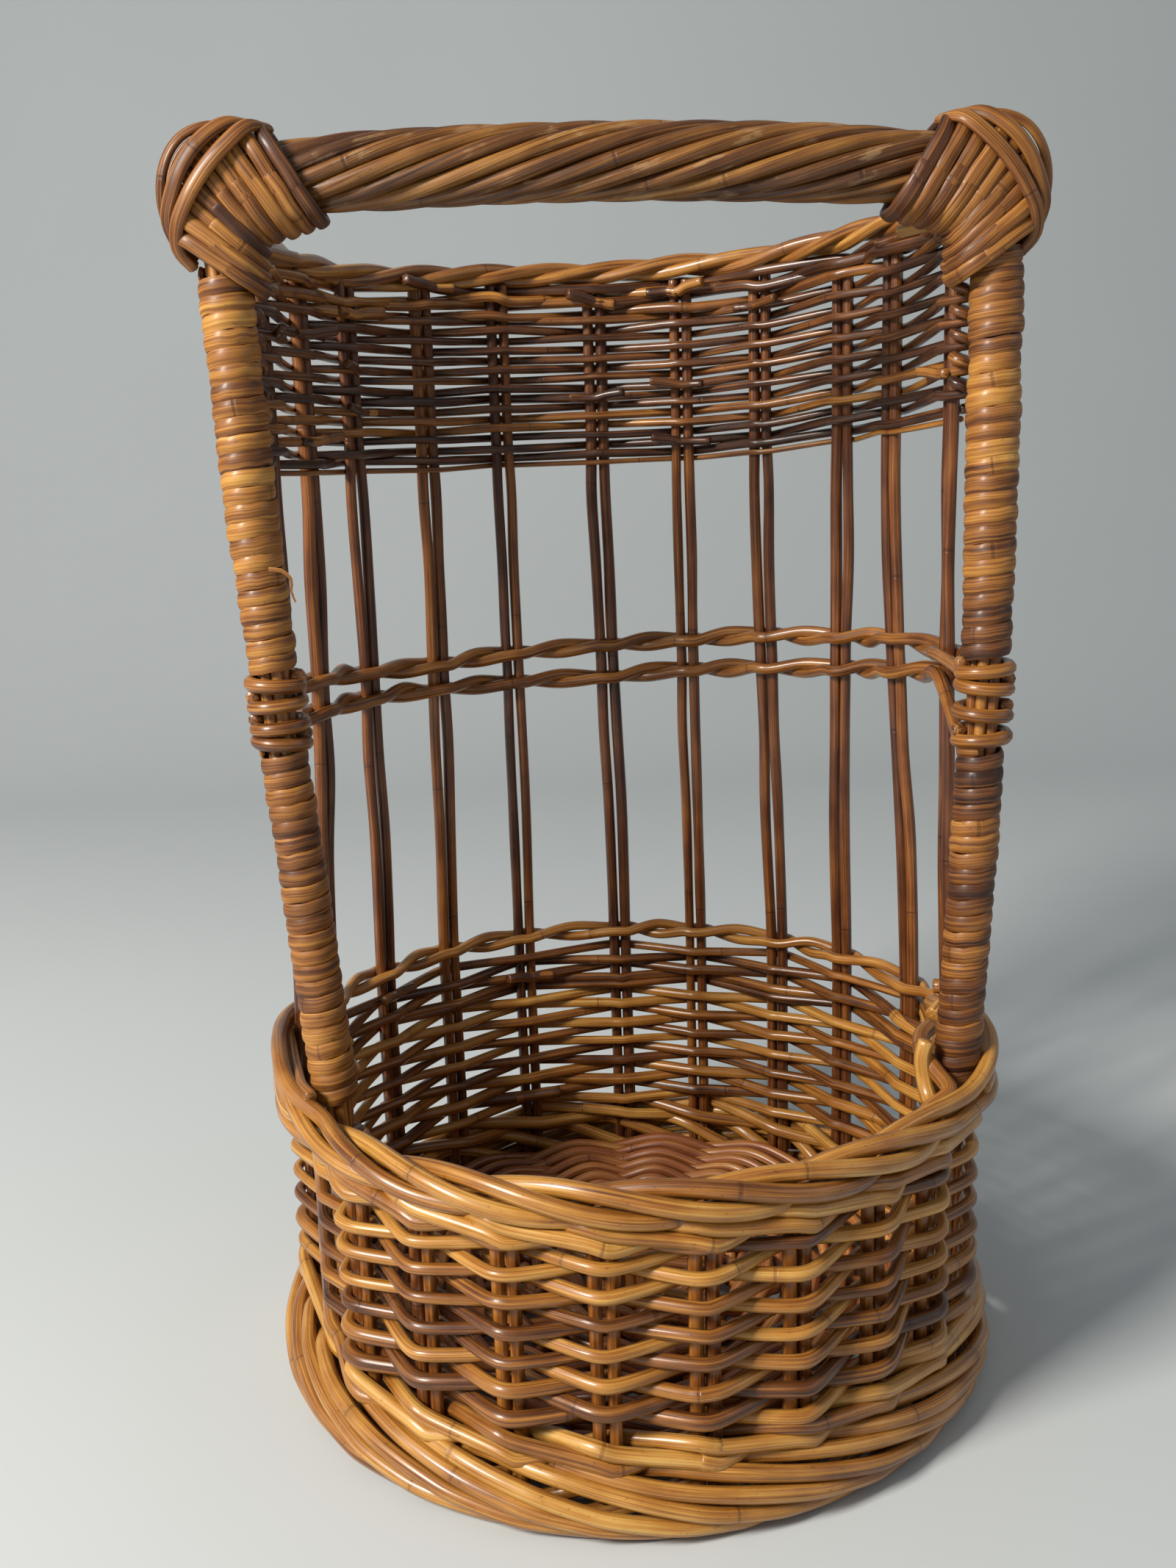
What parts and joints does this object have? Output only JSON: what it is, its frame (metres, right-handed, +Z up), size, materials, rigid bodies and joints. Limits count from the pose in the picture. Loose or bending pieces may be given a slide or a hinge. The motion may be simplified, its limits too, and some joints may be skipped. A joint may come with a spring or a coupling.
{
  "type": "baguette basket",
  "caption": "Tall round woven cane basket with an open front, bound posts, an open stake back under a woven band, and a twisted handle across the top.",
  "frame": {"origin": "on the floor, on the axis of the round bowl", "axes": "+Z up, -Y towards the open front, +X to the right seen from the front"},
  "size_m": [0.381, 0.3685, 0.5918],
  "materials": {
    "stake_cane": "varnished brown cane, split grain along its length",
    "weaver_cane": "varnished honey-brown cane, satin",
    "border_cane": "varnished thick cane, glossy on the crowns",
    "binding_cane": "varnished flat cane, light honey",
    "handle_cane": "varnished brown cane, worn smooth"
  },
  "bodies": {
    "root": {"back_rim_1": "border_cane", "back_rim_2": "border_cane", "back_stake_1": "stake_cane", "back_stake_10": "stake_cane", "back_stake_11": "stake_cane", "back_stake_2": "stake_cane", "back_stake_3": "stake_cane", "back_stake_4": "stake_cane", "back_stake_5": "stake_cane", "back_stake_6": "stake_cane", "back_stake_7": "stake_cane", "back_stake_8": "stake_cane", "back_stake_9": "stake_cane", "back_wall_weaver": "weaver_cane", "band_border_1": "border_cane", "band_border_2": "border_cane", "band_weaver_1": "weaver_cane", "band_weaver_2": "weaver_cane", "base_sticks": "stake_cane", "base_weaver_1": "weaver_cane", "base_weaver_2": "weaver_cane", "corner_wrap_left": "binding_cane", "corner_wrap_right": "binding_cane", "foot_strand_1": "border_cane", "foot_strand_2": "border_cane", "foot_strand_3": "border_cane", "foot_strand_4": "border_cane", "front_border_1": "border_cane", "front_border_2": "border_cane", "front_border_3": "border_cane", "front_stake_1": "stake_cane", "front_stake_2": "stake_cane", "front_stake_3": "stake_cane", "front_stake_4": "stake_cane", "front_stake_5": "stake_cane", "front_stake_6": "stake_cane", "front_stake_7": "stake_cane", "front_stake_8": "stake_cane", "front_wale_1": "weaver_cane", "front_wale_2": "weaver_cane", "handle_core": "handle_cane", "handle_rod_1": "handle_cane", "handle_rod_2": "handle_cane", "handle_rod_3": "handle_cane", "handle_rod_4": "handle_cane", "handle_rod_5": "handle_cane", "handle_rod_6": "handle_cane", "handle_rod_7": "handle_cane", "handle_rod_8": "handle_cane", "lower_binding_left": "binding_cane", "lower_binding_right": "binding_cane", "lower_rail_1": "weaver_cane", "lower_rail_2": "weaver_cane", "post_left": "stake_cane", "post_right": "stake_cane", "upper_binding_left": "binding_cane", "upper_binding_right": "binding_cane", "upper_rail_1": "weaver_cane", "upper_rail_2": "weaver_cane", "wall_weaver": "weaver_cane"}
  },
  "joints": []
}
